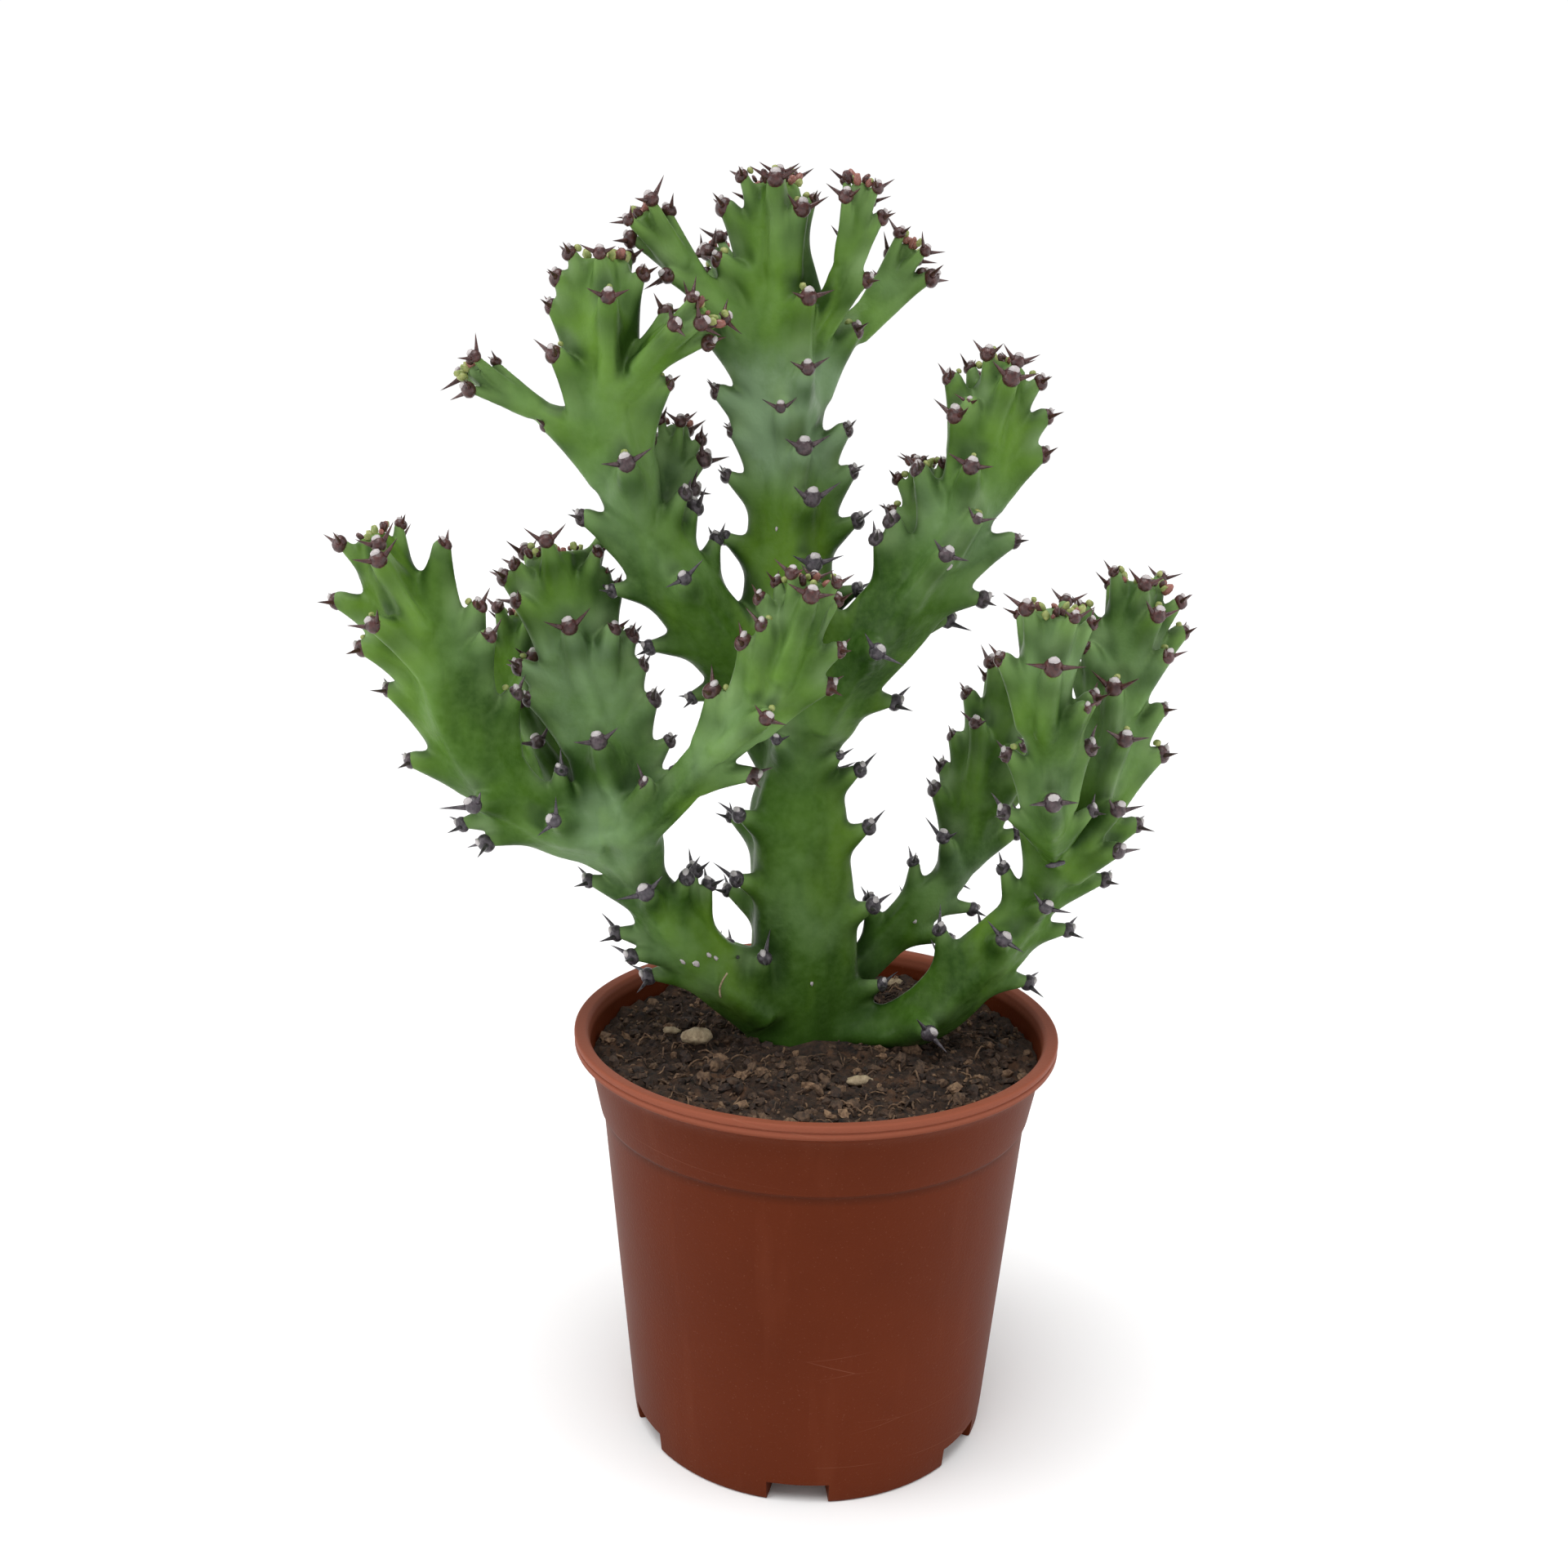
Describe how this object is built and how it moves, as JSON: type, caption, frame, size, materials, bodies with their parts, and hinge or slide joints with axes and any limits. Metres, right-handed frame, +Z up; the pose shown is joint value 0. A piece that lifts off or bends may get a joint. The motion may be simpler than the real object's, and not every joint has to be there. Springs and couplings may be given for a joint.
{
  "type": "potted euphorbia",
  "caption": "Upright, much-branched spiny euphorbia with toothed green stems, rooted in peat soil in a round terracotta-coloured plastic nursery pot.",
  "frame": {"origin": "centre of the pot's underside, on the pot's axis, at the level it stands on", "axes": "+Z up along the pot's axis; -Y towards the front of the plant; +X to the right seen from the front"},
  "size_m": [0.2723, 0.17, 0.4339],
  "materials": {
    "pot": "satin terracotta-coloured thin-walled plastic",
    "soil": "crumbly dark peat with bark pieces and fibres",
    "stem": "waxy green succulent skin with a pale bloom on the young growth",
    "wood_chip": "dry pale bark and wood shards",
    "areole": "dark red-brown horny spine shield, grey with age",
    "spine": "dark brown hard spine with a grey bloom",
    "bud": "small yellow-green flower bud",
    "fibre": "dry plant fibre"
  },
  "bodies": {
    "root": {"pot": "pot", "soil": "soil", "trunk": "stem", "leader": "stem", "upper_left_stem": "stem", "upper_right_stem": "stem", "lower_left_stem": "stem", "lower_right_stem": "stem", "rear_right_stem": "stem", "left_outer_arm": "stem", "left_middle_arm": "stem", "left_inner_arm": "stem", "left_rear_arm": "stem", "right_front_arm": "stem", "leader_left_arm": "stem", "leader_rear_arm": "stem", "leader_right_arm": "stem", "leader_side_arm": "stem", "upper_left_outer_arm": "stem", "upper_left_inner_arm": "stem", "upper_left_rear_arm": "stem", "upper_right_side_arm": "stem", "wood_chip_large": "wood_chip", "wood_chip_small": "wood_chip", "wood_chip_front": "wood_chip", "wood_chip_back": "wood_chip"}
  },
  "joints": []
}
